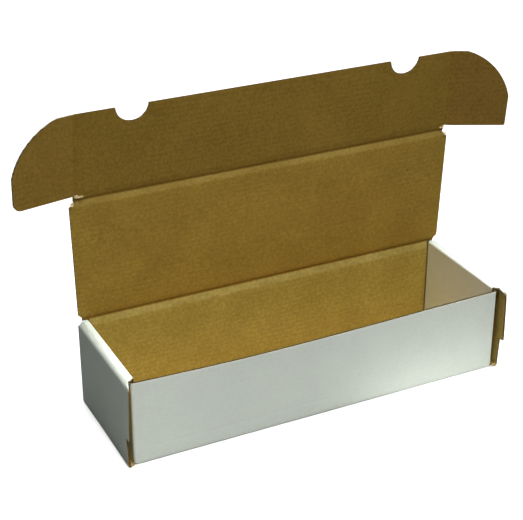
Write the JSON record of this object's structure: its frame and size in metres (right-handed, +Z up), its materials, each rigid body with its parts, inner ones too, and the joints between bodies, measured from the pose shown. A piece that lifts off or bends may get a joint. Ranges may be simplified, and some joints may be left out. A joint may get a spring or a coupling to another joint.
{
  "type": "card storage box",
  "caption": "Long fold-up card storage box of white-faced corrugated board, with roll-over ends, a hinged lid and a front flap with tuck-in ears and finger notches.",
  "frame": {"origin": "middle of the tray's underside, on the surface that the box stands on", "axes": "+X along the box's length, to the right seen from the front; -Y towards the front wall, +Y towards the back wall that carries the lid; +Z up"},
  "size_m": [0.4141, 0.1048, 0.2459],
  "materials": {
    "white_paper": "clay-coated white liner, matte",
    "kraft_paper": "unbleached kraft liner, matte",
    "fluted_paper": "fluted kraft medium, matte",
    "creased_board": "board crushed along a scored crease"
  },
  "bodies": {
    "tray": {"back_left_dust_flap_fluting": "fluted_paper", "back_left_dust_flap_kraft_liner": "kraft_paper", "back_left_dust_flap_white_liner": "white_paper", "back_right_dust_flap_fluting": "fluted_paper", "back_right_dust_flap_kraft_liner": "kraft_paper", "back_right_dust_flap_white_liner": "white_paper", "back_wall_fluting": "fluted_paper", "back_wall_kraft_liner": "kraft_paper", "back_wall_white_liner": "white_paper", "bottom_panel_fluting": "fluted_paper", "bottom_panel_kraft_liner": "kraft_paper", "bottom_panel_white_liner": "white_paper", "front_left_dust_flap_fluting": "fluted_paper", "front_left_dust_flap_kraft_liner": "kraft_paper", "front_left_dust_flap_white_liner": "white_paper", "front_right_dust_flap_fluting": "fluted_paper", "front_right_dust_flap_kraft_liner": "kraft_paper", "front_right_dust_flap_white_liner": "white_paper", "front_wall_fluting": "fluted_paper", "front_wall_kraft_liner": "kraft_paper", "front_wall_white_liner": "white_paper", "left_inner_end_fluting": "fluted_paper", "left_inner_end_kraft_liner": "kraft_paper", "left_inner_end_white_liner": "white_paper", "left_outer_end_fluting": "fluted_paper", "left_outer_end_kraft_liner": "kraft_paper", "left_outer_end_white_liner": "white_paper", "left_rollover_fluting": "fluted_paper", "left_rollover_kraft_liner": "kraft_paper", "left_rollover_white_liner": "white_paper", "lid_crease": "creased_board", "right_inner_end_fluting": "fluted_paper", "right_inner_end_kraft_liner": "kraft_paper", "right_inner_end_white_liner": "white_paper", "right_outer_end_fluting": "fluted_paper", "right_outer_end_kraft_liner": "kraft_paper", "right_outer_end_white_liner": "white_paper", "right_rollover_fluting": "fluted_paper", "right_rollover_kraft_liner": "kraft_paper", "right_rollover_white_liner": "white_paper"},
    "lid": {"flap_crease": "creased_board", "lid_panel_fluting": "fluted_paper", "lid_panel_kraft_liner": "kraft_paper", "lid_panel_white_liner": "white_paper"},
    "front_flap": {"front_flap_fluting": "fluted_paper", "front_flap_kraft_liner": "kraft_paper", "front_flap_white_liner": "white_paper", "left_ear_crease": "creased_board", "right_ear_crease": "creased_board"},
    "left_ear": {"left_ear_fluting": "fluted_paper", "left_ear_kraft_liner": "kraft_paper", "left_ear_white_liner": "white_paper"},
    "right_ear": {"right_ear_fluting": "fluted_paper", "right_ear_kraft_liner": "kraft_paper", "right_ear_white_liner": "white_paper"}
  },
  "joints": [
    {"name": "lid_hinge", "type": "hinge", "parent": "tray", "child": "lid", "pos_m": [0, 0.05149, 0.0753], "axis": [1, 0, 0], "range_deg": [-93.5, 86.5]},
    {"name": "flap_hinge", "type": "hinge", "parent": "lid", "child": "front_flap", "pos_m": [0, 0.0452, 0.17808], "axis": [1, 0, 0], "range_deg": [-9.2, 88.6]},
    {"name": "left_ear_hinge", "type": "hinge", "parent": "front_flap", "child": "left_ear", "pos_m": [-0.15882, 0.0452, 0.17808], "axis": [0, -0.0854, 0.9963], "range_deg": [-8.5, 81.5]},
    {"name": "right_ear_hinge", "type": "hinge", "parent": "front_flap", "child": "right_ear", "pos_m": [0.15882, 0.0452, 0.17808], "axis": [0, 0.0854, -0.9963], "range_deg": [-7.2, 68.5]}
  ],
  "couplings": [
    {"joint": "left_ear_hinge", "follows": "flap_hinge", "ratio": 0.91986},
    {"joint": "right_ear_hinge", "follows": "flap_hinge", "ratio": 0.77313}
  ]
}
